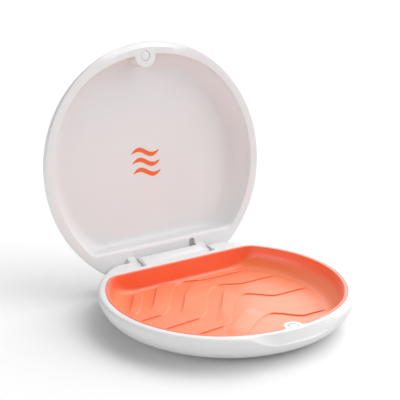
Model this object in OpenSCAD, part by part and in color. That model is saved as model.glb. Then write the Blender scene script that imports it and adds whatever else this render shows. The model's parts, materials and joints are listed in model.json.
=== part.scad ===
// Clamshell case for a dental retainer: two moulded shells on a pin hinge, held shut by magnets.
// The case is drawn open, as it stands on a table. Lengths are in millimetres and +Z is up.
// The origin is the middle of the round outline, on the underside of the base.
// The lid is drawn shut, then swung back about the hinge pin to its open stop.

/* [Outline] */
// Radius of the round outline of both shells
case_r = 42; // [38:0.5:48]
// How much of the round outline the flat at the rear cuts away
rear_cut = 5; // [3.5:0.25:6.5]
// Height of the base, from the table to its rim
base_h = 10.8; // [10:0.1:14]
// Height of the lid, from its rim to its crown
lid_h = 9.8; // [9.4:0.1:12]
// Radius of the round between the rim and the underside or the crown
side_r = 9.2; // [8:0.1:9.2]
// Width of the rounded margin outside the flat that the base stands on
foot_margin = 15; // [12:0.5:22]
// Radius of the flat in the middle of the lid's crown
crown_r = 6; // [2:1:20]
// Round on the outer edge of the base's rim
base_rim_round = 1.2; // [0.4:0.1:1.6]

/* [Inside of the shells] */
// Width of the base's rim
base_rim_w = 2.6; // [2:0.1:4]
// Width of the lid's rim
lid_rim_w = 3.05; // [2:0.05:5]
// Width of the hinge land in the base, from the pocket's rear wall to the rear flat
base_land = 8.9; // [8.6:0.1:13]
// Width of the hinge land in the lid, from the rear wall of its inside to the rear flat
lid_land = 10; // [9.6:0.1:13]
// Depth of the lid's inside
lid_depth = 7; // [6:0.1:7.4]
// Radius of the cove round the pocket in the base
pocket_cove_r = 7.6; // [5:0.1:8]
// Radius of the cove round the lid's inside
lid_cove_r = 6.4; // [4:0.1:6.8]
// Round at the foot of the rear walls
foot_round = 1.6; // [0.8:0.1:3]
// Round on the edge between the lid's rear wall and its hinge land
land_round = 1.5; // [0.4:0.1:1.8]
// Radius of the flatter arc that thickens both rims at the front
front_arc_r = 55; // [48:1:80]
// How far that arc thickens the rims in the middle
front_thicken = 1.4; // [0.6:0.1:2]
// Gap between the rims when the case is shut
rim_gap = 0.2; // [0.1:0.05:0.4]

/* [Tray liner] */
// Depth of the tray, from the rim to the liner's floor
tray_depth = 7.3; // [5.5:0.1:7.6]
// Thickness of the liner's floor
liner_floor = 1.2; // [0.8:0.1:1.4]
// Thickness of the liner's wall, which shows as its lip
liner_wall = 1; // [0.7:0.1:1.6]
// Gap between the liner and the base
liner_gap = 0.06; // [0.03:0.01:0.15]
// Height of the wave ribs on the liner's floor
wave_h = 0.45; // [0.2:0.05:0.8]
// Widest part of a wave rib
wave_w = 5; // [2:0.1:6]
// How much each wave climbs for each millimetre to the right, on the left of its peak
wave_slope = 0.1; // [0:0.02:0.4]
// How far a whole wave drops in its bend on the left of its peak
wave_step = 18; // [8:0.5:20]
// Length of that bend
wave_bend = 20; // [12:0.5:26]
// Length of the dip on the right of each peak
wave_dip_len = 9; // [5:0.5:14]

/* [Hinge] */
// Distance from the rear flat to the hinge pin
hinge_inset = 2.5; // [2:0.1:3]
// Distance from the base's rim down to the hinge pin
hinge_drop = 3; // [2.8:0.1:3.4]
// Angle between the shut and the open lid
open_angle = 100; // [90:1:102]
// Diameter of the hinge pin
pin_d = 2; // [1.5:0.1:2.4]
// Length of the hinge pin
pin_len = 42; // [36:0.5:43]
// Radius of the barrel on the base
barrel_r = 4.1; // [3.6:0.1:5.2]
// Width of the barrel on the base
barrel_w = 24; // [16:0.5:26]
// Thickness of the lid's two hinge ears
ear_t = 2.8; // [2:0.1:3.4]
// Radius of the round end of an ear
ear_r = 2.5; // [2.2:0.1:2.5]
// Width of an ear where it leaves the lid
ear_root_w = 6.6; // [5.5:0.1:6.8]
// Gap round the barrel and the ears
hinge_gap = 0.35; // [0.25:0.05:0.5]
// Running clearance between an ear's bore and the pin, on the radius
pin_clear = 0.05; // [0.02:0.01:0.09]
// Depth of the recess in the lid that clears the barrel
recess_depth = 1.3; // [1:0.1:4.4]
// Wall between the lid's inside and that recess
recess_wall = 1.6; // [1:0.1:2]

/* [Magnets] */
// Diameter of the two disc magnets
magnet_d = 3; // [2:0.1:4]
// Thickness of the two disc magnets
magnet_t = 2; // [1:0.1:3]
// Diameter of the caps over the magnets
cap_d = 3.3; // [2.4:0.1:4.6]
// Thickness of the caps
cap_t = 0.8; // [0.5:0.1:1.2]
// Gap round the magnets and the caps, on the radius
magnet_gap = 0.06; // [0.03:0.01:0.12]
// Distance from the front of the round outline to the magnets
magnet_inset = 4.9; // [4.6:0.1:6]
// Radius of the tab that holds the magnet in the base
base_tab_r = 3.1; // [2.8:0.05:5]
// Radius of the tab that holds the magnet in the lid
lid_tab_r = 3.9; // [2.8:0.05:5]

/* [Finger recess] */
// Angle from the front to each end of the finger recess
finger_end = 30; // [24:1:36]
// How far the recess cuts into the rim
finger_inset = 2.3; // [1:0.1:2.6]
// How far the recess reaches down the side of the base
finger_depth = 3.7; // [2:0.1:4.5]
// How far it reaches up the side of the lid
lid_finger_depth = 1.7; // [1:0.1:4.5]

/* [Hidden] */
$fn = 96;
shell_white = "#eceaea";
liner_orange = "#f4693a";
magnet_silver = "#c9cacc";
pin_steel = "#b4b7ba";

// Fine enough for the widest round, the one across the lid's crown
belly_fn = 1440;
// Overshoot of a cutting shape past the face that it opens
over = 1;
rim_z = base_h;
lid_rim_z = rim_z + rim_gap;
rear_y = case_r - rear_cut;
hinge_y = rear_y - hinge_inset;
hinge_z = rim_z - hinge_drop;
magnet_y = case_r - magnet_inset;
foot_r = case_r - foot_margin;
pocket_rear_y = rear_y - base_land;
lid_rear_y = rear_y - lid_land;
pocket_r = case_r - base_rim_w;
pocket_depth = tray_depth + liner_floor;
lid_in_r = case_r - lid_rim_w;
barrel_half = barrel_w / 2;
ear_in = barrel_half + hinge_gap;
ear_out = ear_in + ear_t;
slot_out = ear_out + hinge_gap;
pin_bore_r = pin_d / 2 + pin_clear;
magnet_pocket_r = max(magnet_d, cap_d) / 2 + magnet_gap;
magnet_pocket_depth = magnet_t + cap_t + magnet_gap;
liner_in_r = pocket_r - liner_gap - liner_wall;
liner_cove_r = max(pocket_cove_r - liner_gap - liner_wall, foot_round);
// The wave ribs stay on the flat of the floor, this far from where its cove starts
wave_margin = 0.6;
wave_floor_r = liner_in_r - liner_cove_r - wave_margin;
wave_steps = 36;
// Each wave's peak, in shares of the floor's radius
wave_peaks = [[-0.28, 1.01], [-0.03, 0.825], [0.25, 0.54], [0.355, 0.18], [0.29, -0.4]];
// How far each drops on the left of its peak, in shares of a whole drop, and dips on the right of it
wave_drops = [1.05, 1, 1, 0.9, 0.5];
wave_dips = [2, 2.4, 3, 6.5, 7];
wave_bend_from = 1;

// The plane of a side view, extruded across the width w of the case
module across(w) {
    rotate([90, 0, 90]) linear_extrude(w, center = true) children();
}

// The same side view extruded twice, from x = inner to x = outer on the right and on the left
module across_pair(inner, outer) {
    for (side = [-1, 1])
        translate([side * (inner + outer) / 2, 0, 0]) across(outer - inner) children();
}

// Swings a lid piece from its shut place to its open stop
module opened() {
    translate([0, hinge_y, hinge_z])
        rotate([-open_angle, 0, 0])
            translate([0, -hinge_y, -hinge_z]) children();
}

// Turns a shape drawn downwards from a rim at z = 0 into the lid's, drawn upwards from its rim
module on_lid() {
    translate([0, 0, lid_rim_z]) mirror([0, 0, 1]) children();
}

module on_base() {
    translate([0, 0, rim_z]) children();
}

// Half section of a shell: the rim at y = 0, a side round, then a flatter round to the flat below
module shell_section(height, flat_r) {
    side_c = [case_r - side_r, 0];
    belly_r = ((side_c.x - flat_r) ^ 2 + height ^ 2 - side_r ^ 2) / (2 * (height - side_r));
    belly_c = [flat_r, belly_r - height];
    meet = (side_c - belly_c) / norm(side_c - belly_c);
    beyond = side_c + 2 * side_r * meet;
    intersection() {
        translate([0, -height]) square([case_r, height]);
        union() {
            translate(side_c) circle(side_r);
            intersection() {
                union() {
                    translate(belly_c) circle(belly_r, $fn = belly_fn);
                    translate([0, -height]) square([flat_r, height]);
                }
                polygon([[0, 0], side_c, beyond, [0, beyond.y]]);
            }
        }
    }
}

// Limit of the base's section at its rim: the outer edge is a round that runs into the side
module rim_limit() {
    side_c = [case_r - side_r, 0];
    inner_r = side_r - base_rim_round;
    round_c = side_c + [sqrt(inner_r ^ 2 - base_rim_round ^ 2), -base_rim_round];
    touch_y = -base_rim_round * side_r / inner_r;
    translate([0, -base_h]) square([case_r, base_h + touch_y]);
    translate([0, -base_h]) square([round_c.x, base_h]);
    translate(round_c) circle(base_rim_round);
}

// Half section of a hollow: straight side, then a cove to its floor
module hollow_section(r, depth, cove_r) {
    translate([0, -depth]) square([r - cove_r, depth + over]);
    translate([0, cove_r - depth]) square([r, depth - cove_r + over]);
    translate([r - cove_r, cove_r - depth]) circle(cove_r);
}

// Side view of a hollow's rear wall, with the round at its foot
module rear_limit(y, depth, foot) {
    translate([-2 * case_r, -depth]) square([2 * case_r + y - foot, depth + over]);
    translate([-2 * case_r, foot - depth]) square([2 * case_r + y, depth - foot + over]);
    translate([y - foot, foot - depth]) circle(foot);
}

// A hollow below a rim at z = 0: round at the sides, flatter at the front, straight at the rear
module hollow(r, rear, depth, cove_r, foot) {
    intersection() {
        rotate_extrude() hollow_section(r, depth, cove_r);
        translate([0, front_arc_r - r + front_thicken, 0])
            rotate_extrude() hollow_section(front_arc_r, depth, cove_r);
        across(2 * case_r) rear_limit(rear, depth, foot);
    }
}

// The finger recess below a rim at z = 0: the outside of a wide cone that fades out at both ends
function side_reach(depth) = case_r - side_r + sqrt(side_r ^ 2 - depth ^ 2);

module finger_cut(deepest) {
    top_r = case_r - finger_inset;
    arc_y = (case_r ^ 2 - top_r ^ 2) / (2 * (top_r - case_r * cos(finger_end)));
    arc_r = top_r + arc_y;
    lean = (side_reach(deepest) - top_r) / deepest;
    reach = deepest + over;
    translate([0, arc_y, 0]) rotate_extrude() polygon([
        [arc_r - lean * over, over],
        [arc_r + lean * reach, -reach],
        [arc_r + case_r, -reach],
        [arc_r + case_r, over]
    ]);
}

// Tab that carries a magnet, from the rim at z = 0 down to the floor of the hollow
module magnet_tab(r, depth) {
    translate([0, -magnet_y, -depth - over]) cylinder(r = r, h = depth + over);
}

module magnet_pocket() {
    translate([0, -magnet_y, -magnet_pocket_depth])
        cylinder(r = magnet_pocket_r, h = magnet_pocket_depth + over);
}

// Disc magnet at the bottom of its pocket, below a rim at z = 0
module magnet() {
    translate([0, -magnet_y, -magnet_pocket_depth]) cylinder(d = magnet_d, h = magnet_t);
}

// Cap that closes the pocket, resting on the magnet
module magnet_cap() {
    translate([0, -magnet_y, magnet_t - magnet_pocket_depth]) cylinder(d = cap_d, h = cap_t);
}

// Outer form of the base: the round shell, with its rear cut flat and rolled over the hinge pin
module base_form() {
    intersection() {
        on_base() rotate_extrude() intersection() {
            shell_section(base_h, foot_r);
            rim_limit();
        }
        across(2 * case_r) {
            translate([-2 * case_r, -over]) square([2 * case_r + hinge_y, rim_z + 2 * over]);
            translate([-2 * case_r, -over]) square([2 * case_r + rear_y, hinge_z + over]);
            intersection() {
                translate([hinge_y, hinge_z]) circle(hinge_drop);
                square([rear_y, rim_z]);
            }
        }
    }
}

// Side view of the slot that one ear of the lid swings in, open at the top and at the rear
module slot_view() {
    reach = ear_r + hinge_gap;
    root = [hinge_y + ear_r - ear_root_w - hinge_gap, rim_z];
    lean = open_angle - 90;
    beyond = 3 * ear_r;
    pin = [hinge_y, hinge_z];
    heel = pin + [-sin(lean), -cos(lean)] * reach;
    translate(pin) circle(reach);
    polygon([
        root + [0, over],
        root,
        pin - [reach, 0],
        heel,
        heel + [cos(lean), -sin(lean)] * beyond,
        [hinge_y + beyond, rim_z + over]
    ]);
}

// Side view of an ear of the lid, in its shut place
module ear_view() {
    translate([hinge_y, hinge_z]) circle(ear_r);
    polygon([
        [hinge_y + ear_r - ear_root_w, lid_rim_z],
        [hinge_y - ear_r, hinge_z],
        [hinge_y + ear_r, hinge_z],
        [hinge_y + ear_r, lid_rim_z + over],
        [hinge_y + ear_r - ear_root_w, lid_rim_z + over]
    ]);
}

module base_shell() {
    color(shell_white) difference() {
        union() {
            difference() {
                base_form();
                on_base() hollow(pocket_r, pocket_rear_y, pocket_depth, pocket_cove_r, foot_round);
            }
            intersection() {
                base_form();
                on_base() magnet_tab(base_tab_r, pocket_depth);
            }
            across(barrel_w) translate([hinge_y, hinge_z]) circle(barrel_r);
        }
        across_pair(barrel_half, slot_out) slot_view();
        across(2 * case_r) translate([hinge_y, hinge_z]) circle(d = pin_d);
        on_base() magnet_pocket();
        on_base() finger_cut(finger_depth);
    }
}

// A smooth step from 0 to 1
function ease(t) = let (u = min(max(t, 0), 1)) u * u * (3 - 2 * u);

// The front edge of a wave, at a distance t to the right of its peak
function wave_edge(k, t) = wave_floor_r * wave_peaks[k] + [
    t,
    wave_slope * min(t, 0) - wave_step * wave_drops[k] * ease((-t - wave_bend_from) / wave_bend)
        - wave_dips[k] * ease(t / wave_dip_len)
];

// One wave rib of the floor: a band that swells in the middle and runs out to a point at each end
module wave_rib(k) {
    left = -(1 + wave_peaks[k].x) * wave_floor_r;
    right = (1 - wave_peaks[k].x) * wave_floor_r;
    ts = [for (i = [0 : wave_steps]) left + (right - left) * i / wave_steps];
    front = [for (t = ts) wave_edge(k, t)];
    rear = [for (i = [wave_steps - 1 : -1 : 1]) front[i] + [0, wave_w * sin(180 * i / wave_steps)]];
    linear_extrude(wave_h) polygon(concat(front, rear));
}

module tray_liner() {
    color(liner_orange) {
        on_base() difference() {
            intersection() {
                hollow(pocket_r - liner_gap, pocket_rear_y - liner_gap, pocket_depth,
                       pocket_cove_r, foot_round);
                translate([0, 0, -2 * case_r]) cylinder(r = 2 * case_r, h = 2 * case_r);
            }
            hollow(liner_in_r, pocket_rear_y - liner_gap - liner_wall, tray_depth,
                   liner_cove_r, foot_round);
            translate([0, -magnet_y, -pocket_depth - over])
                cylinder(r = base_tab_r + liner_gap, h = pocket_depth + 2 * over);
        }
        intersection() {
            translate([0, 0, rim_z - tray_depth])
                for (k = [0 : len(wave_peaks) - 1]) wave_rib(k);
            translate([0, 0, rim_z - tray_depth]) cylinder(r = wave_floor_r, h = wave_h);
            across(2 * case_r) translate([-2 * case_r, 0])
                square([2 * case_r + pocket_rear_y - liner_gap - liner_wall - foot_round, rim_z]);
        }
    }
}

module base_magnet() {
    color(magnet_silver) on_base() magnet();
}

module base_magnet_cap() {
    color(shell_white) on_base() magnet_cap();
}

module hinge_pin() {
    color(pin_steel) across(pin_len) translate([hinge_y, hinge_z]) circle(d = pin_d);
}

// Outer form of the lid, shut: the round shell with its rear cut flat
module lid_form() {
    intersection() {
        on_lid() rotate_extrude() shell_section(lid_h, crown_r);
        across(2 * case_r) translate([-2 * case_r, 0])
            square([2 * case_r + rear_y, lid_rim_z + lid_h + over]);
    }
}

// The inside of the lid below a rim at z = 0, with the edge towards the hinge land rolled
module lid_hollow() {
    hollow(lid_in_r, lid_rear_y, lid_depth, lid_cove_r, foot_round);
    intersection() {
        rotate_extrude() hollow_section(lid_in_r, lid_depth, lid_cove_r);
        across(2 * case_r) difference() {
            translate([lid_rear_y - over, -land_round]) square([land_round + over, land_round + over]);
            translate([lid_rear_y + land_round, -land_round]) circle(land_round);
        }
    }
}

// Recess in the lid's hinge land that lets the barrel turn
module barrel_recess() {
    recess_y = lid_rear_y + recess_wall;
    across(2 * ear_in) {
        translate([recess_y, lid_rim_z - over]) square([case_r, recess_depth + over]);
        translate([hinge_y, hinge_z]) circle(barrel_r + hinge_gap);
    }
}

module lid_shell() {
    color(shell_white) opened() difference() {
        union() {
            difference() {
                lid_form();
                on_lid() lid_hollow();
            }
            intersection() {
                lid_form();
                on_lid() magnet_tab(lid_tab_r, lid_depth);
            }
            across_pair(barrel_half - over, ear_out) ear_view();
        }
        barrel_recess();
        across(2 * slot_out) translate([hinge_y, hinge_z]) circle(pin_bore_r);
        on_lid() magnet_pocket();
        on_lid() finger_cut(lid_finger_depth);
    }
}

module lid_magnet() {
    color(magnet_silver) opened() on_lid() magnet();
}

module lid_magnet_cap() {
    color(shell_white) opened() on_lid() magnet_cap();
}

base_shell();
tray_liner();
base_magnet();
base_magnet_cap();
hinge_pin();
lid_shell();
lid_magnet();
lid_magnet_cap();
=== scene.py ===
import json
import math

import bmesh
import bpy
from mathutils import Matrix, Vector


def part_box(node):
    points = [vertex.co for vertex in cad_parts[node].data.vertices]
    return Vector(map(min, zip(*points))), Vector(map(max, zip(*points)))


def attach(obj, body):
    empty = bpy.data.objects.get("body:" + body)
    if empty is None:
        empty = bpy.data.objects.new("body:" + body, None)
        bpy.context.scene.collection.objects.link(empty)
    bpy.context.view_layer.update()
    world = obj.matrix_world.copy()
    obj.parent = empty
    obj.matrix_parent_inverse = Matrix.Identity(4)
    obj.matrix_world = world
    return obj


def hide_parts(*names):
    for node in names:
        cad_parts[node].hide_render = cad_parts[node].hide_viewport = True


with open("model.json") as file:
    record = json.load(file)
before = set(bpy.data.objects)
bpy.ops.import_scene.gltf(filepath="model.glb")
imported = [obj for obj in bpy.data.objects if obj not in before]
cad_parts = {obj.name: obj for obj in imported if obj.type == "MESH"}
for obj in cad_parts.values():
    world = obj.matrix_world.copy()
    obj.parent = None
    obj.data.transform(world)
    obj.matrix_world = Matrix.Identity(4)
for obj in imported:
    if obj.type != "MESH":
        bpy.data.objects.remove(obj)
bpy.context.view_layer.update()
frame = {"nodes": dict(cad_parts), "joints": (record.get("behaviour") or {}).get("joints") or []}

# Camera
# A long lens that looks from the front left, from above the open lid. Lengths are in millimetres here and
# below, and MM turns them into metres.
MM = 0.001
CAMERA_AT = Vector((-244.9, -366.0, 192.6))
CAMERA_AIM = Vector((-14.5, -6.7, 45.3))
LENS = 131.3
SENSOR_W = 36.0
NEAR_CLIP = 0.01

camera_data = bpy.data.cameras.new("camera")
camera_data.lens = LENS
camera_data.sensor_width = SENSOR_W
camera_data.clip_start = NEAR_CLIP
camera = bpy.data.objects.new("camera", camera_data)
camera.location = CAMERA_AT * MM
camera.rotation_euler = (CAMERA_AIM - CAMERA_AT).to_track_quat("-Z", "Y").to_euler()
bpy.context.scene.collection.objects.link(camera)
bpy.context.scene.camera = camera

# Base shell
# The lower half of the case: one injection moulding in white ABS with a satin mould finish.
# It stands on a flat, its rounded rim has a finger recess at the front, and its rear carries the hinge
# barrel, between two slots for the lid's ears.
HINGE = Vector(frame["joints"][0]["pos_m"]) / MM
RIM_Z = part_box("tray_liner")[1].z / MM
CASE_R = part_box("lid_shell")[1].x / MM
SIDE_R = 9.2
REAR_Y = 37.0
STEPS = 320
BELLY_STEPS = 14
RIM_STEPS = 34
ROUND_STEPS = 8
LIP_STEPS = 4
TURN_STEPS = 24
MERGE = 1e-3
FINE_MERGE = 1e-4

BASE_H = RIM_Z
BASE_FOOT_R = 27.0
BASE_RIM_ROUND = 1.2
POCKET = {"r": 39.4, "rear": 28.1, "depth": 8.5, "cove": 7.6, "foot": 1.6, "lip": 0.2, "rear_lip": 0.2}
FRONT_ARC_R = 55.0
FRONT_THICKEN = 1.4
FRONT_BLEND = 2.0
REAR_BLEND = 0.8
REAR_FROM = 0.3
REAR_LIP_FADE = 1.5
COVE_FROM = 12
COVE_STEPS = 16
FLOOR_PARTS = 24
FLOOR_RINGS = (23, 22, 21, 20, 19, 18, 17, 16, 12, 6, 0)
HALVINGS = 22
NEAREST = 0.2
FARTHEST = 1.1

# The finger recess ends and fades at angles in degrees from the front, and has a thin ledge at its foot.
FINGER_END = 28.0
FINGER_FADE = 18.0
FINGER_INSET = 1.8
FINGER_HASTE = 1.6
FINGER_BLEND = 0.12
FINGER_LEDGE = 0.35
FINGER_LEDGE_FROM = 0.86
FINGER_LEAST = 0.01
FINE_FROM = 32
BASE_FINGER_DEPTH = 3.7

BARREL_R = 4.1
BARREL_EASE = 0.15
BARREL_HALF = 12.0
BARREL_STEPS = 96
HINGE_GAP = 0.35
EAR_T = 2.8
EAR_R = 2.5
EAR_ROOT_W = 6.6
PIN_R = 1.0
PIN_STEPS = 48
ROLL_R = RIM_Z - HINGE.z
SLOT_OUT = BARREL_HALF + EAR_T + 2 * HINGE_GAP
OPEN_ANGLE = frame["joints"][0]["range_deg"][1]
OVER = 1.0

MAGNET_Y = (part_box("base_magnet")[0].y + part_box("base_magnet")[1].y) / 2 / MM
BASE_TAB_R = 3.1
BASE_TAB_FILLET = 1.4
TAB_ROOT = 1.6
TAB_SKIN = 0.9
TAB_STEPS = 48
CAP_R = (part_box("base_magnet_cap")[1].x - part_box("base_magnet_cap")[0].x) / 2 / MM
CAP_GAP = 0.1
CAP_POCKET_R = CAP_R + CAP_GAP
CAP_POCKET_DEPTH = 2.9


def arc(centre, radius, start, end, steps):
    """Points along an arc between two angles in degrees, both ends included."""
    turns = [math.radians(start + (end - start) * i / steps) for i in range(steps + 1)]
    return [(centre[0] + radius * math.cos(a), centre[1] + radius * math.sin(a)) for a in turns]


def outer_section(height, flat_r, rim_round):
    """Half section of a shell's outside as (radius, depth below the rim), from the middle to the rim."""
    side = Vector((CASE_R - SIDE_R, 0))
    belly_r = ((side.x - flat_r) ** 2 + height ** 2 - SIDE_R ** 2) / (2 * (height - SIDE_R))
    belly = Vector((flat_r, height - belly_r))
    meet = math.degrees(math.atan2(side.y - belly.y, side.x - belly.x))
    inner = SIDE_R - rim_round
    rim = math.degrees(math.asin(rim_round / inner))
    edge = (side.x + math.sqrt(inner ** 2 - rim_round ** 2), rim_round)
    return ([(0, height), (flat_r / 2, height)] + arc(belly, belly_r, 90, meet, BELLY_STEPS)
            + arc(side, SIDE_R, meet, FINE_FROM, BELLY_STEPS)[1:]
            + arc(side, SIDE_R, FINE_FROM, rim, RIM_STEPS)[1:]
            + arc(edge, rim_round, rim, -90, ROUND_STEPS)[1:])


def soft_min(a, b, blend):
    """The smaller of two lengths, with the corner between them rounded off."""
    near = max(blend - abs(a - b), 0) / blend
    return min(a, b) - near * near * blend / 4


def round_max(a, b, radius):
    """The larger of two distances, with a round fillet where they meet."""
    return min(-radius, max(a, b)) + math.hypot(max(a + radius, 0), max(b + radius, 0))


def ease(t):
    """A smooth step from 0 to 1."""
    t = min(max(t, 0), 1)
    return t * t * (3 - 2 * t)


def finger_limit(angle, depth, deepest):
    """Radius of the finger recess at an angle round the case and a depth below the rim."""
    away = FINGER_END - abs(math.degrees(angle) + 90)
    if away <= 0:
        return 2 * CASE_R
    inset = FINGER_INSET * ease(FINGER_HASTE * away / FINGER_FADE)
    rise = ease(away / FINGER_FADE)
    low = deepest * rise + FINGER_LEAST
    side = CASE_R - SIDE_R + math.sqrt(SIDE_R ** 2 - low ** 2)
    run_out = ease((depth / low - FINGER_LEDGE_FROM) / (1 - FINGER_LEDGE_FROM))
    return CASE_R - inset + (side - CASE_R + inset) * depth / low - FINGER_LEDGE * rise * (1 - run_out)


def hollow_distance(hollow, x, y, depth):
    """How far a point lies outside a hollow: a round wall, flatter in front, a cove and a straight rear."""
    front_y = FRONT_ARC_R - hollow["r"] + FRONT_THICKEN
    wall = round_max(math.hypot(x, y) - hollow["r"], math.hypot(x, y - front_y) - FRONT_ARC_R, FRONT_BLEND)
    bowl = round_max(wall, depth - hollow["depth"], hollow["cove"])
    return round_max(bowl, y - hollow["rear"], hollow["foot"])


def hollow_point(hollow, r, depth, angle):
    """Where the ray from the middle of the rim through (r, depth) meets the hollow's surface."""
    across = (r * math.cos(angle), r * math.sin(angle))
    low, high = NEAREST, FARTHEST
    for _ in range(HALVINGS):
        share = (low + high) / 2
        if hollow_distance(hollow, across[0] * share, across[1] * share, depth * share) < 0:
            low = share
        else:
            high = share
    return Vector((across[0] * low, across[1] * low, -depth * low))


def hollow_section(hollow):
    """Half section of a round hollow as (radius, depth), from under its lip to the middle of its floor."""
    r, depth, cove = hollow["r"], hollow["depth"], hollow["cove"]
    wall = arc((r - cove, depth - cove), cove, COVE_FROM, 90, COVE_STEPS)
    return wall + [(part * (r - cove) / FLOOR_PARTS, depth) for part in FLOOR_RINGS]


def turned(profile, shape):
    """Spins a half section round the upright axis, then sets each point where shape(ring, angle) puts it."""
    bm = bmesh.new()
    ring = bm.verts.layers.int.new("ring")
    points = [bm.verts.new((r, 0, -depth)) for r, depth in profile]
    for i, point in enumerate(points):
        point[ring] = i
    edges = [bm.edges.new(pair) for pair in zip(points, points[1:])]
    bmesh.ops.spin(bm, geom=points + edges, cent=(0, 0, 0), axis=(0, 0, 1), angle=math.tau, steps=STEPS,
                   use_merge=True)
    for point in bm.verts:
        point.co = shape(point[ring], math.atan2(point.co.y, point.co.x))
    bmesh.ops.remove_doubles(bm, verts=bm.verts, dist=FINE_MERGE)
    bmesh.ops.recalc_face_normals(bm, faces=bm.faces)
    return bm


def shell(height, flat_r, rim_round, hollow, finger_depth, roll):
    """A whole shell below a rim at z = 0: the outside, the rim and the hollow in one closed skin."""
    outside = outer_section(height, flat_r, rim_round)
    inside = hollow_section(hollow)
    profile = outside + [(hollow["r"], i) for i in range(LIP_STEPS + 1)] + inside

    def shape(ring, angle):
        if ring < len(outside):
            r, depth = outside[ring]
            rear = REAR_Y
            if roll and depth < roll:
                rear = min(REAR_Y, HINGE.y + math.sqrt(roll ** 2 - (roll - depth) ** 2))
            if math.sin(angle) > REAR_FROM:
                r = soft_min(r, rear / math.sin(angle), REAR_BLEND) if r > 0 else 0
            if depth < SIDE_R / 2:
                r = soft_min(r, finger_limit(angle, depth, finger_depth), FINGER_BLEND)
            return Vector((r * math.cos(angle), r * math.sin(angle), -depth))
        ring -= len(outside)
        if ring <= LIP_STEPS:
            edge = hollow_point(hollow, hollow["r"], 0, angle)
            at_rear = ease((edge.y - hollow["rear"] + REAR_LIP_FADE) / REAR_LIP_FADE)
            lip = hollow["lip"] + (hollow["rear_lip"] - hollow["lip"]) * at_rear
            turn = math.radians(90 * ring / LIP_STEPS)
            r = math.hypot(edge.x, edge.y) + lip * (1 - math.sin(turn))
            return Vector((r * math.cos(angle), r * math.sin(angle), -lip * (1 - math.cos(turn))))
        return hollow_point(hollow, *inside[ring - LIP_STEPS - 1], angle)

    return turned(profile, shape)


def cylinder(radius, low, high, x=0, y=0, steps=96):
    """An upright solid cylinder between two heights."""
    bm = bmesh.new()
    bmesh.ops.create_cone(bm, cap_ends=True, segments=steps, radius1=radius, radius2=radius, depth=high - low)
    bmesh.ops.translate(bm, vec=(x, y, (low + high) / 2), verts=bm.verts)
    return bm


def prism(outline, left, right):
    """A side view of (y, z) points, extruded across from x = left to x = right."""
    bm = bmesh.new()
    face = bm.faces.new([bm.verts.new((left, y, z)) for y, z in outline])
    pushed = bmesh.ops.extrude_face_region(bm, geom=[face])
    moved = [e for e in pushed["geom"] if isinstance(e, bmesh.types.BMVert)]
    bmesh.ops.translate(bm, vec=(right - left, 0, 0), verts=moved)
    bmesh.ops.recalc_face_normals(bm, faces=bm.faces)
    return bm


def as_object(bm, name):
    """A new object with the bmesh's faces."""
    mesh = bpy.data.meshes.new(name)
    bm.to_mesh(mesh)
    bm.free()
    made = bpy.data.objects.new(name, mesh)
    bpy.context.scene.collection.objects.link(made)
    return made


def carved(bm, tools):
    """The body with each tool added (UNION) or cut away (DIFFERENCE), in the order given."""
    body = as_object(bm, "body")
    helpers = [as_object(tool, "tool") for _, tool in tools]
    for (operation, _), helper in zip(tools, helpers):
        cut = body.modifiers.new("cut", "BOOLEAN")
        cut.operation = operation
        cut.object = helper
        cut.solver = "EXACT"
    result = bmesh.new()
    result.from_mesh(body.evaluated_get(bpy.context.evaluated_depsgraph_get()).to_mesh())
    for helper in [body, *helpers]:
        bpy.data.objects.remove(helper)
    bmesh.ops.remove_doubles(result, verts=result.verts, dist=MERGE)
    return result


SHARP = math.radians(34)


def piece(name, bm, body, nodes, place=Matrix.Identity(4)):
    """Finishes a piece drawn in millimetres: puts it in its place and lets it stand for its CAD nodes."""
    bmesh.ops.transform(bm, matrix=Matrix.Scale(MM, 4) @ place, verts=bm.verts)
    made = as_object(bm, name)
    made.data.shade_smooth()
    made.data.set_sharp_from_angle(angle=SHARP)
    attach(made, body)
    if nodes:
        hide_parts(*nodes)
    return made


def slot_view():
    """Side view of the slot that an ear of the lid swings in, open at the top and at the rear."""
    reach = EAR_R + HINGE_GAP
    lean = math.radians(OPEN_ANGLE - 90)
    beyond = 3 * EAR_R
    heel = Vector((HINGE.y, HINGE.z)) - Vector((math.sin(lean), math.cos(lean))) * reach
    root_y = HINGE.y + EAR_R - EAR_ROOT_W - HINGE_GAP
    return ([(root_y, RIM_Z + OVER), (root_y, RIM_Z)]
            + arc((HINGE.y, HINGE.z), reach, 180, 360 - OPEN_ANGLE, TURN_STEPS)
            + [(heel.x + math.cos(lean) * beyond, heel.y - math.sin(lean) * beyond),
               (HINGE.y + beyond, RIM_Z + OVER)])


def tab_outline(tab_r, fillet, hollow):
    """Plan of a magnet tab: round, with a fillet on each side where it leaves the inside of the rim."""
    front_y = FRONT_ARC_R - hollow["r"] + FRONT_THICKEN
    away = front_y - MAGNET_Y
    reach = tab_r + fillet
    cosine = (away ** 2 + reach ** 2 - (FRONT_ARC_R - fillet) ** 2) / (2 * away * reach)
    turn = math.degrees(math.acos(cosine))
    corner = (reach * math.sqrt(1 - cosine ** 2), MAGNET_Y + reach * cosine)
    out = math.degrees(math.atan2(corner[1] - front_y, corner[0])) + 360
    right = [(corner[0], MAGNET_Y - TAB_ROOT)] + arc(corner, fillet, out, 270 - turn, ROUND_STEPS)
    tip = arc((0, MAGNET_Y), tab_r, 90 - turn, 90 + turn, TAB_STEPS)[1:-1]
    return right + tip + [(-x, y) for x, y in right[::-1]]


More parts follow.
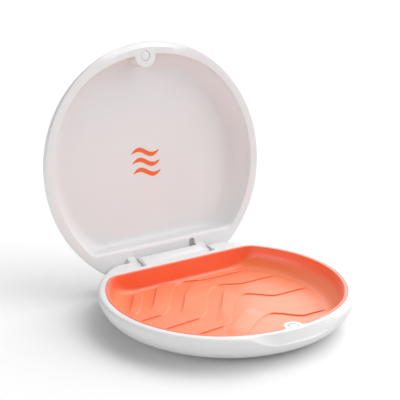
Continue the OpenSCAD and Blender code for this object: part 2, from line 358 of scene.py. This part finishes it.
def magnet_tools(tab_r, fillet, hollow):
    """The tab that holds a magnet under a rim at z = 0, and the round pocket in it."""
    tab = bmesh.new()
    face = tab.faces.new([tab.verts.new((x, y, 0)) for x, y in tab_outline(tab_r, fillet, hollow)])
    pushed = bmesh.ops.extrude_face_region(tab, geom=[face])
    for point in [e for e in pushed["geom"] if isinstance(e, bmesh.types.BMVert)]:
        beyond = point.co.xy.length - CASE_R + SIDE_R
        point.co.z = TAB_SKIN - math.sqrt(SIDE_R ** 2 - beyond ** 2)
    bmesh.ops.recalc_face_normals(tab, faces=tab.faces)
    pocket = cylinder(CAP_POCKET_R, -CAP_POCKET_DEPTH, OVER, y=MAGNET_Y)
    return [("UNION", tab), ("DIFFERENCE", pocket)]


def barrel():
    """The round barrel on the base, with its end edges eased."""
    bm = bmesh.new()
    bmesh.ops.create_cone(bm, cap_ends=True, segments=BARREL_STEPS, radius1=BARREL_R,
                          radius2=BARREL_R, depth=2 * BARREL_HALF)
    ends = [e for e in bm.edges if abs(e.verts[0].co.z - e.verts[1].co.z) < OVER]
    bmesh.ops.bevel(bm, geom=ends, offset=BARREL_EASE, segments=2, profile=0.5, affect="EDGES", material=-1)
    bmesh.ops.rotate(bm, matrix=Matrix.Rotation(math.pi / 2, 3, "Y"), verts=bm.verts)
    bmesh.ops.translate(bm, vec=HINGE, verts=bm.verts)
    return bm


def pin_bore(radius, half):
    """A round rod along the hinge axis."""
    bm = bmesh.new()
    bmesh.ops.create_cone(bm, cap_ends=True, segments=PIN_STEPS, radius1=radius, radius2=radius,
                          depth=2 * half)
    bmesh.ops.rotate(bm, matrix=Matrix.Rotation(math.pi / 2, 3, "Y"), verts=bm.verts)
    bmesh.ops.translate(bm, vec=HINGE, verts=bm.verts)
    return bm


def raised(tools, height):
    """The same tools, moved up to a rim at that height."""
    for _, tool in tools:
        bmesh.ops.translate(tool, vec=(0, 0, height), verts=tool.verts)
    return tools


base = shell(BASE_H, BASE_FOOT_R, BASE_RIM_ROUND, POCKET, BASE_FINGER_DEPTH, ROLL_R)
bmesh.ops.translate(base, vec=(0, 0, RIM_Z), verts=base.verts)
base = carved(base, [
    ("UNION", barrel()),
    *raised(magnet_tools(BASE_TAB_R, BASE_TAB_FILLET, POCKET), RIM_Z),
    ("DIFFERENCE", prism(slot_view(), BARREL_HALF, SLOT_OUT)),
    ("DIFFERENCE", prism(slot_view(), -SLOT_OUT, -BARREL_HALF)),
    ("DIFFERENCE", pin_bore(PIN_R, CASE_R)),
])
base_shell = piece("white_base", base, "base", ["base_shell"])


# White ABS, injection moulded against a fine satin mould: soft broad highlights, an even grain that is
# too fine to see by itself and a very faint drift of tone. The grain is drawn coarser than it is.
def linear(colour):
    """An sRGB hex colour as linear red, green, blue and alpha."""
    parts = [int(colour[i:i + 2], 16) / 255 for i in (1, 3, 5)]
    return [c / 12.92 if c <= 0.04045 else ((c + 0.055) / 1.055) ** 2.4 for c in parts] + [1]


def add(tree, kind, settings=None, sockets=None):
    """Adds a node, sets its options and sets or links its input sockets."""
    made = tree.nodes.new(kind)
    for key, value in (settings or {}).items():
        setattr(made, key, value)
    for key, value in (sockets or {}).items():
        if isinstance(value, bpy.types.NodeSocket):
            tree.links.new(value, made.inputs[key])
        else:
            made.inputs[key].default_value = value
    return made


COLOUR_A = 6
COLOUR_B = 7
COLOUR_OUT = 2
SMOOTH = {"interpolation_type": "SMOOTHSTEP"}


def new_material(name):
    """An empty node material."""
    material = bpy.data.materials.new(name)
    material.use_nodes = True
    material.node_tree.nodes.clear()
    return material, material.node_tree


def moulded(name, low, high, drift_mm, grain_mm, rough, grain_depth, ior, sheen=0.0, painted_top_light=None):
    """A moulded plastic or rubber: two close tones that drift, a fine grain in the gloss and in the bump.

    The last argument is a paler tone painted on the faces that look up, a painted highlight that stands for
    the light and sheen they catch from above, and the two heights between which it ends."""
    material, tree = new_material(name)
    place = add(tree, "ShaderNodeTexCoord").outputs["Object"]
    drift = add(tree, "ShaderNodeTexNoise", sockets={
        "Vector": place, "Scale": 1 / (drift_mm * MM), "Detail": 2.0})
    grain = add(tree, "ShaderNodeTexNoise", sockets={
        "Vector": place, "Scale": 1 / (grain_mm * MM), "Detail": 3.0})
    tone = add(tree, "ShaderNodeMix", {"data_type": "RGBA"}, {
        "Factor": drift.outputs["Fac"], COLOUR_A: linear(low), COLOUR_B: linear(high)})
    if painted_top_light:
        # Painted highlight: faces that look up, below a height, are mixed towards a paler tone for the light
        # they catch.
        painted_pale, full_at, none_at = painted_top_light
        facing = add(tree, "ShaderNodeTexCoord").outputs["Normal"]
        up = add(tree, "ShaderNodeSeparateXYZ", sockets={"Vector": facing}).outputs["Z"]
        height = add(tree, "ShaderNodeSeparateXYZ", sockets={"Vector": place}).outputs["Z"]
        level = add(tree, "ShaderNodeMapRange", SMOOTH, {"Value": up, "From Min": 0.2, "From Max": 0.7})
        below = add(tree, "ShaderNodeMapRange", SMOOTH, {
            "Value": height, "From Min": full_at * MM, "From Max": none_at * MM,
            "To Min": 1.0, "To Max": 0.0})
        share = add(tree, "ShaderNodeMath", {"operation": "MULTIPLY"}, {
            0: level.outputs["Result"], 1: below.outputs["Result"]})
        tone = add(tree, "ShaderNodeMix", {"data_type": "RGBA"}, {
            "Factor": share.outputs[0], COLOUR_A: tone.outputs[COLOUR_OUT], COLOUR_B: linear(painted_pale)})
    gloss = add(tree, "ShaderNodeMapRange", sockets={
        "Value": grain.outputs["Fac"], "From Min": 0.3, "From Max": 0.7,
        "To Min": rough[0], "To Max": rough[1]})
    bump = add(tree, "ShaderNodeBump", sockets={
        "Height": grain.outputs["Fac"], "Strength": 0.25, "Distance": grain_depth * MM})
    surface = add(tree, "ShaderNodeBsdfPrincipled", sockets={
        "Base Color": tone.outputs[COLOUR_OUT], "Roughness": gloss.outputs["Result"],
        "Normal": bump.outputs["Normal"], "IOR": ior, "Sheen Weight": sheen, "Sheen Roughness": 0.4})
    add(tree, "ShaderNodeOutputMaterial", sockets={"Surface": surface.outputs["BSDF"]})
    return material


white_abs = moulded("satin_white_abs", "#dfdfe0", "#e5e5e6", 30, 0.5, (0.40, 0.48), 0.02, 1.52)
base_shell.data.materials.append(white_abs)

# Tray liner
# A soft tray in orange silicone, moulded to drop into the base's pocket. Its floor carries raised waves,
# each with a crisp step along its front and a ramp behind, and a notch in its front wall clears the tab.
LINER_GAP = 0.06
LINER_WALL = 1.0
TRAY_DEPTH = 7.3
TRAY = {"r": POCKET["r"] - LINER_GAP - LINER_WALL, "rear": POCKET["rear"] - LINER_GAP - LINER_WALL,
        "depth": TRAY_DEPTH, "cove": POCKET["cove"] - LINER_GAP - LINER_WALL, "foot": POCKET["foot"]}
SKIN = {"r": POCKET["r"] - LINER_GAP, "rear": POCKET["rear"] - LINER_GAP, "depth": POCKET["depth"],
        "cove": POCKET["cove"], "foot": POCKET["foot"]}
LINER_LIP = 0.15

# Each wave's front edge has a peak, drops in a bend on the left of it and dips on the right. Behind its bend
# stands a second step, at the offset in WAVE_BACKS.
WAVE_PEAKS = [(-8.7, 31.4), (-0.9, 25.7), (7.8, 16.8), (11.0, 5.6), (9.0, -12.4)]
WAVE_DROPS = [18.9, 18.0, 18.0, 16.2, 9.0]
WAVE_DIPS = [2.0, 2.4, 3.0, 6.5, 7.0]
WAVE_BACKS = [(-3.4, 0.0), (-3.3, 4.0), (-5.5, 5.0), (0.0, 6.0), (-2.0, 6.0)]
WAVE_H = 0.45
WAVE_BACK_H = 0.7
WAVE_SLOPE = 0.1
WAVE_BEND_FROM = 1.0
WAVE_BEND = 20.0
WAVE_BACK_RISE = 4.0
WAVE_BACK_FALL = 6.0
WAVE_LEAN_FROM = 2.0
WAVE_LEAN_TO = 3.0
WAVE_LEAN_FADE = 4.0
WAVE_DIP_LEN = 9.0
WAVE_BAND = 8.0
WAVE_FOOT = Vector((0.4, -0.3, 0))
WAVE_FADE = 6.0
WAVE_REACH = 45
WAVE_SINK = 0.06
WAVE_ROOT = 0.5
WAVE_ROWS = 8
WAVE_COLS = 110
WAVE_END = 1.0
BAND_LEAST = 0.3
BAND_SHRINK = 0.9
FLOOR_R = 33.8
FLOOR_REAR = 27.3


def liner_skin():
    """The liner without its waves: the skin against the base, the lip and the tray in one closed skin."""
    outside = hollow_section(SKIN)[::-1]
    inside = hollow_section(TRAY)
    rounds = [(SKIN["r"], i) for i in range(2 * (LIP_STEPS + 1))]
    profile = outside + rounds + inside

    def shape(ring, angle):
        if ring < len(outside):
            return hollow_point(SKIN, *outside[ring], angle)
        ring -= len(outside)
        if ring >= len(rounds):
            return hollow_point(TRAY, *inside[ring - len(rounds)], angle)
        outer = ring <= LIP_STEPS
        edge = hollow_point(SKIN if outer else TRAY, SKIN["r"] if outer else TRAY["r"], 0, angle)
        turn = math.radians(90 * (ring if outer else ring - LIP_STEPS - 1) / LIP_STEPS)
        inset = LINER_LIP * (1 - math.cos(turn)) if outer else LINER_LIP * (math.sin(turn) - 1)
        fall = LINER_LIP * (1 - math.sin(turn)) if outer else LINER_LIP * (1 - math.cos(turn))
        r = math.hypot(edge.x, edge.y) - inset
        return Vector((r * math.cos(angle), r * math.sin(angle), -fall))

    return turned(profile, shape)


def wave_edge(peak, drop, dip, t):
    """The front edge of a wave, at a distance t to the right of its peak."""
    fall = drop * ease((-t - WAVE_BEND_FROM) / WAVE_BEND) + dip * ease(t / WAVE_DIP_LEN)
    return Vector((peak[0] + t, peak[1] + WAVE_SLOPE * min(t, 0) - fall, 0))


def on_floor(point):
    """Whether a point lies on the tray's floor or just inside the walls round it."""
    return point.xy.length < FLOOR_R and point.y < FLOOR_REAR


def wave(peak, drop, dip, behind):
    """A raised wave: a step along its front, a ramp behind it, and behind its bend a second, lower step."""
    half_steps = range(-2 * WAVE_REACH, 2 * WAVE_REACH)
    reach = [i / 2 for i in half_steps if on_floor(wave_edge(peak, drop, dip, i / 2))]
    first, last = min(reach), max(reach)
    bm = bmesh.new()
    for point in bmesh.ops.create_grid(bm, x_segments=WAVE_COLS, y_segments=WAVE_ROWS, size=0.5)["verts"]:
        t = first + (last - first) * (point.co.x + 0.5)
        row = round((point.co.y + 0.5) * WAVE_ROWS)
        back = min(max(row - 1, 0) / (WAVE_ROWS - 2), 1)
        edge = wave_edge(peak, drop, dip, t)
        ends = ease((t - first + WAVE_END) / WAVE_FADE) * ease((last - t + WAVE_END) / WAVE_FADE)
        left = ease(-2 * t / WAVE_BEND)
        bend = ease((-t - WAVE_BEND_FROM) / WAVE_BACK_RISE) * ease((WAVE_BEND + t) / WAVE_BACK_FALL)
        lean = (ease((WAVE_LEAN_FROM - t) / WAVE_LEAN_FADE)
                * ease((WAVE_BEND + WAVE_LEAN_TO + t) / WAVE_LEAN_FADE))
        away = Vector((0, WAVE_BAND, 0)).lerp(Vector((*behind, 0)), left)
        while not on_floor(edge + away) and away.length > BAND_LEAST:
            away *= BAND_SHRINK
        high = ends * (WAVE_H * (1 - back) + WAVE_BACK_H * bend * back)
        point.co = edge + away * back + Vector((0, 0, high - WAVE_SINK))
        if row == 0:
            point.co = edge + WAVE_FOOT * lean * ends - Vector((0, 0, WAVE_SINK))
        if row == WAVE_ROWS:
            point.co.z = -WAVE_SINK
    bmesh.ops.remove_doubles(bm, verts=bm.verts, dist=FINE_MERGE)
    pushed = bmesh.ops.extrude_face_region(bm, geom=bm.faces[:])
    for point in [e for e in pushed["geom"] if isinstance(e, bmesh.types.BMVert)]:
        point.co.z = -WAVE_ROOT
    bmesh.ops.recalc_face_normals(bm, faces=bm.faces)
    bmesh.ops.translate(bm, vec=(0, 0, RIM_Z - TRAY_DEPTH), verts=bm.verts)
    return bm


liner = liner_skin()
bmesh.ops.translate(liner, vec=(0, 0, RIM_Z), verts=liner.verts)
notch = cylinder(BASE_TAB_R + LINER_GAP, -OVER, RIM_Z + OVER, y=MAGNET_Y)
liner = carved(liner, [
    *[("UNION", wave(*shape)) for shape in zip(WAVE_PEAKS, WAVE_DROPS, WAVE_DIPS, WAVE_BACKS)],
    ("DIFFERENCE", notch),
])
tray_liner = piece("orange_tray", liner, "base", ["tray_liner"])

# Moulded silicone rubber: a strong orange under a satin skin with a soft sheen, and a paler painted highlight
# on the floor and other faces that look up, for the light they catch, which ends on the way up the walls. The
# grain is drawn coarser than it is.
silicone = moulded("soft_orange_silicone", "#f56132", "#f76c3b", 22, 0.4, (0.3, 0.38), 0.02, 1.7, 0.5,
                   ("#fa824c", 5, 9))
tray_liner.data.materials.append(silicone)

# Lid shell
# The upper half: a second moulding in the same white ABS, shallower, with a broad flat rim. Its rear wall
# rolls over to the hinge land, where a scooped recess clears the barrel and two ears turn on the pin.
LID_H = 9.8
LID_CROWN_R = 6.0
LID_RIM_ROUND = 0.4
LID_RIM_GAP = 0.2
EAR_STEPS = 32
LID_HOLLOW = {"r": 38.95, "rear": 27.0, "depth": 7.0, "cove": 6.4, "foot": 1.6, "lip": 0.25, "rear_lip": 1.5}
LID_FINGER_DEPTH = 1.7
LID_TAB_R = 3.9
LID_TAB_FILLET = 0.3
RECESS_DEPTH = 1.3
RECESS_WALL = 1.6
NOTCH_W = 2.4
NOTCH_DEPTH = 1.9
NOTCH_FROM = 28.3
NOTCH_TO = 33.0
PIN_CLEAR = 0.05
BORE_R = PIN_R + PIN_CLEAR
LID_RIM_Z = RIM_Z + LID_RIM_GAP
OPENED = (Matrix.Translation(HINGE) @ Matrix.Rotation(math.radians(-OPEN_ANGLE), 4, "X")
          @ Matrix.Translation(-HINGE))
OVER_RIM = Matrix.Translation((0, 0, LID_RIM_Z)) @ Matrix.Scale(-1, 4, (0, 0, 1))


def ear_view():
    """Side view of an ear of the lid, in its shut place."""
    root_y = HINGE.y + EAR_R - EAR_ROOT_W
    return ([(root_y, LID_RIM_Z + OVER), (root_y, LID_RIM_Z)]
            + arc((HINGE.y, HINGE.z), EAR_R, 180, 360, EAR_STEPS)
            + [(HINGE.y + EAR_R, LID_RIM_Z + OVER)])


def recess_view():
    """Side view of the recess that clears the barrel: a scoop that deepens towards the rear."""
    clear = BARREL_R + HINGE_GAP
    front = LID_HOLLOW["rear"] + RECESS_WALL
    rear = REAR_Y + OVER
    return [(front, LID_RIM_Z - OVER), (front, LID_RIM_Z), (rear, LID_RIM_Z + RECESS_DEPTH),
            (rear, HINGE.z - clear), *arc((HINGE.y, HINGE.z), clear, 270, 180, TURN_STEPS)]


def notch_tools():
    """The round-ended notch at the right end of that recess, as two cutting tools."""
    right = BARREL_HALF + HINGE_GAP
    low, high = LID_RIM_Z - OVER, LID_RIM_Z + NOTCH_DEPTH
    start = NOTCH_FROM + NOTCH_W / 2
    slot = prism([(start, low), (NOTCH_TO, low), (NOTCH_TO, high), (start, high)], right - NOTCH_W, right)
    end = cylinder(NOTCH_W / 2, low, high, x=right - NOTCH_W / 2, y=start)
    return [("DIFFERENCE", end), ("DIFFERENCE", slot)]


def over_rim(bm):
    """Turns a shape drawn below a rim at z = 0 into the lid's, drawn above its rim."""
    bmesh.ops.transform(bm, matrix=OVER_RIM, verts=bm.verts)
    bmesh.ops.reverse_faces(bm, faces=bm.faces)
    return bm


lid = over_rim(shell(LID_H, LID_CROWN_R, LID_RIM_ROUND, LID_HOLLOW, LID_FINGER_DEPTH, 0))
lid = carved(lid, [
    *[(operation, over_rim(tool)) for operation, tool in magnet_tools(LID_TAB_R, LID_TAB_FILLET, LID_HOLLOW)],
    ("UNION", prism(ear_view(), BARREL_HALF - OVER, BARREL_HALF + HINGE_GAP + EAR_T)),
    ("UNION", prism(ear_view(), -BARREL_HALF - HINGE_GAP - EAR_T, OVER - BARREL_HALF)),
    ("DIFFERENCE", prism(recess_view(), -BARREL_HALF - HINGE_GAP, BARREL_HALF + HINGE_GAP)),
    ("DIFFERENCE", pin_bore(BORE_R, SLOT_OUT)),
    *notch_tools(),
])
lid_shell = piece("white_lid", lid, "lid", ["lid_shell"], OPENED)
lid_shell.data.materials.append(white_abs)

# Magnet caps
# Two small discs in the same white ABS, with eased edges. They are pressed into the tabs over the
# magnets and lie flush with the rims.
CAP_T = 0.8
CAP_EASE = 0.2
CAP_SINK = 0.04


def cap():
    """A cap with its top at z = 0."""
    bm = cylinder(CAP_R, -CAP_T, -CAP_SINK, y=MAGNET_Y)
    top = [e for e in bm.edges if min(v.co.z for v in e.verts) > -CAP_T / 2]
    bmesh.ops.bevel(bm, geom=top, offset=CAP_EASE, segments=3, profile=0.5, affect="EDGES", material=-1)
    return bm


base_cap = piece("base_cap", cap(), "base", ["base_magnet_cap"], Matrix.Translation((0, 0, RIM_Z)))
lid_cap = piece("lid_cap", over_rim(cap()), "lid", ["lid_magnet_cap"], OPENED)
for made in (base_cap, lid_cap):
    made.data.materials.append(white_abs)


# Hinge pin and magnets
# A drawn steel pin in the barrel's bore, and two nickel plated disc magnets under the caps. They keep
# their CAD shapes. Drawing leaves fine lines along the pin, and the plating is smooth.
LINE_STRETCH = 0.05


def metal(name, colour, line_mm, rough):
    """A bright metal with fine lines along X in its gloss."""
    material, tree = new_material(name)
    place = add(tree, "ShaderNodeTexCoord").outputs["Object"]
    lines = add(tree, "ShaderNodeMapping", sockets={"Vector": place, "Scale": (LINE_STRETCH, 1, 1)})
    grain = add(tree, "ShaderNodeTexNoise", sockets={
        "Vector": lines.outputs["Vector"], "Scale": 1 / (line_mm * MM), "Detail": 2.0})
    gloss = add(tree, "ShaderNodeMapRange", sockets={
        "Value": grain.outputs["Fac"], "To Min": rough[0], "To Max": rough[1]})
    surface = add(tree, "ShaderNodeBsdfPrincipled", sockets={
        "Base Color": linear(colour), "Metallic": 1.0, "Roughness": gloss.outputs["Result"]})
    add(tree, "ShaderNodeOutputMaterial", sockets={"Surface": surface.outputs["BSDF"]})
    return material


drawn_steel = metal("drawn_steel", "#c3c5c8", 0.1, (0.22, 0.4))
nickel = metal("nickel_plate", "#d2cfc8", 0.4, (0.16, 0.26))
for name, finish in (("hinge_pin", drawn_steel), ("base_magnet", nickel), ("lid_magnet", nickel)):
    slots = frame["nodes"][name].data.materials
    slots.clear()
    slots.append(finish)

# Wave mark
# Three short waves printed in the tray's orange in the middle of the lid's inside, a plain ornament that
# repeats the tray's floor.
MARK_T = 0.12
MARK_W = 1.7
MARK_LEN = 11.0
MARK_RISE = 1.1
MARK_PITCH = 3.5
MARK_COLS = 40
MARK_SWELL = 0.6
MARK_TIP = 0.4999


def mark():
    """Three wavy strokes that swell in the middle, drawn below a rim at z = 0 on the lid's inside."""
    bm = bmesh.new()
    for row in (-1, 0, 1):
        for point in bmesh.ops.create_grid(bm, x_segments=MARK_COLS, y_segments=2, size=0.5)["verts"]:
            x, side = MARK_LEN * point.co.x, point.co.y
            swell = math.cos(math.pi * point.co.x) ** MARK_SWELL if abs(point.co.x) < MARK_TIP else 0
            y = MARK_PITCH * row + MARK_RISE * math.sin(math.tau * point.co.x) + MARK_W * swell * side
            point.co = (x, y, 0)
    bmesh.ops.remove_doubles(bm, verts=bm.verts, dist=MERGE)
    pushed = bmesh.ops.extrude_face_region(bm, geom=bm.faces[:])
    moved = [e for e in pushed["geom"] if isinstance(e, bmesh.types.BMVert)]
    bmesh.ops.translate(bm, vec=(0, 0, 2 * MARK_T), verts=moved)
    bmesh.ops.recalc_face_normals(bm, faces=bm.faces)
    bmesh.ops.translate(bm, vec=(0, 0, -LID_HOLLOW["depth"] - MARK_T), verts=bm.verts)
    return bm


wave_mark = piece("wave_mark", over_rim(mark()), "lid", [], OPENED)

# Printed ink: a flat, dense orange with a dull finish.
orange_print = moulded("orange_print", "#f2601f", "#f56a28", 8, 0.3, (0.4, 0.5), 0.005, 1.48)
wave_mark.data.materials.append(orange_print)

# Floor and studio light
# A white table that runs out into a white room, lit by soft white panels. Most stand on the right, from low
# to overhead, with others low on the left and in front. The low one behind on the right draws the bright
# lines on the tray's waves. Each panel is an azimuth and an elevation in degrees, and a level.
FLOOR_SIZE = 4.0
FLOOR_STEPS = 64
FLOOR_GAIN = 0.87
PANEL_FOCUS = 12.0
PANELS = [(180, 12, 2.5), (225, 12, 1.9), (315, 12, 0.95), (40, 14, 2.4), (0, 30, 0.8), (315, 30, 1.3),
          (0, 48, 1.9), (45, 48, 2.3), (315, 48, 1.2), (0, 66, 1.3), (0, 88, 0.2)]

floor_bm = bmesh.new()
bmesh.ops.create_circle(floor_bm, cap_ends=True, segments=FLOOR_STEPS, radius=FLOOR_SIZE)
floor = as_object(floor_bm, "floor")

# A matt white table top. The camera sees it at FLOOR_GAIN, so that the open table comes out just white.
table_white, tree = new_material("white_table")
path = add(tree, "ShaderNodeLightPath")
lit = add(tree, "ShaderNodeBsdfDiffuse", sockets={"Color": linear("#e6e6e6")})
seen = add(tree, "ShaderNodeBsdfDiffuse", sockets={"Color": (FLOOR_GAIN, FLOOR_GAIN, FLOOR_GAIN, 1)})
table = add(tree, "ShaderNodeMixShader", sockets={
    "Fac": path.outputs["Is Camera Ray"], 1: lit.outputs[0], 2: seen.outputs[0]})
add(tree, "ShaderNodeOutputMaterial", sockets={"Surface": table.outputs[0]})
floor.data.materials.append(table_white)

world = bpy.data.worlds.new("room")
world.use_nodes = True
bpy.context.scene.world = world
tree = world.node_tree
tree.nodes.clear()
towards = add(tree, "ShaderNodeTexCoord").outputs["Generated"]
total = 0.0
for azimuth, elevation, level in PANELS:
    turn, rise = math.radians(azimuth), math.radians(elevation)
    facing = (math.cos(turn) * math.cos(rise), math.sin(turn) * math.cos(rise), math.sin(rise))
    cosine = add(tree, "ShaderNodeVectorMath", {"operation": "DOT_PRODUCT"}, {0: towards, 1: facing})
    front = add(tree, "ShaderNodeMath", {"operation": "MAXIMUM"}, {0: cosine.outputs["Value"], 1: 0.0})
    panel = add(tree, "ShaderNodeMath", {"operation": "POWER"}, {0: front.outputs[0], 1: PANEL_FOCUS})
    total = add(tree, "ShaderNodeMath", {"operation": "MULTIPLY_ADD"}, {
        0: panel.outputs[0], 1: level, 2: total}).outputs[0]
path = add(tree, "ShaderNodeLightPath")
level = add(tree, "ShaderNodeMix", sockets={"Factor": path.outputs["Is Camera Ray"], "A": total, "B": 1.0})
room = add(tree, "ShaderNodeBackground", sockets={"Color": (1, 1, 1, 1), "Strength": level.outputs["Result"]})
add(tree, "ShaderNodeOutputWorld", sockets={"Surface": room.outputs[0]})

bpy.context.scene.view_settings.view_transform = "Standard"
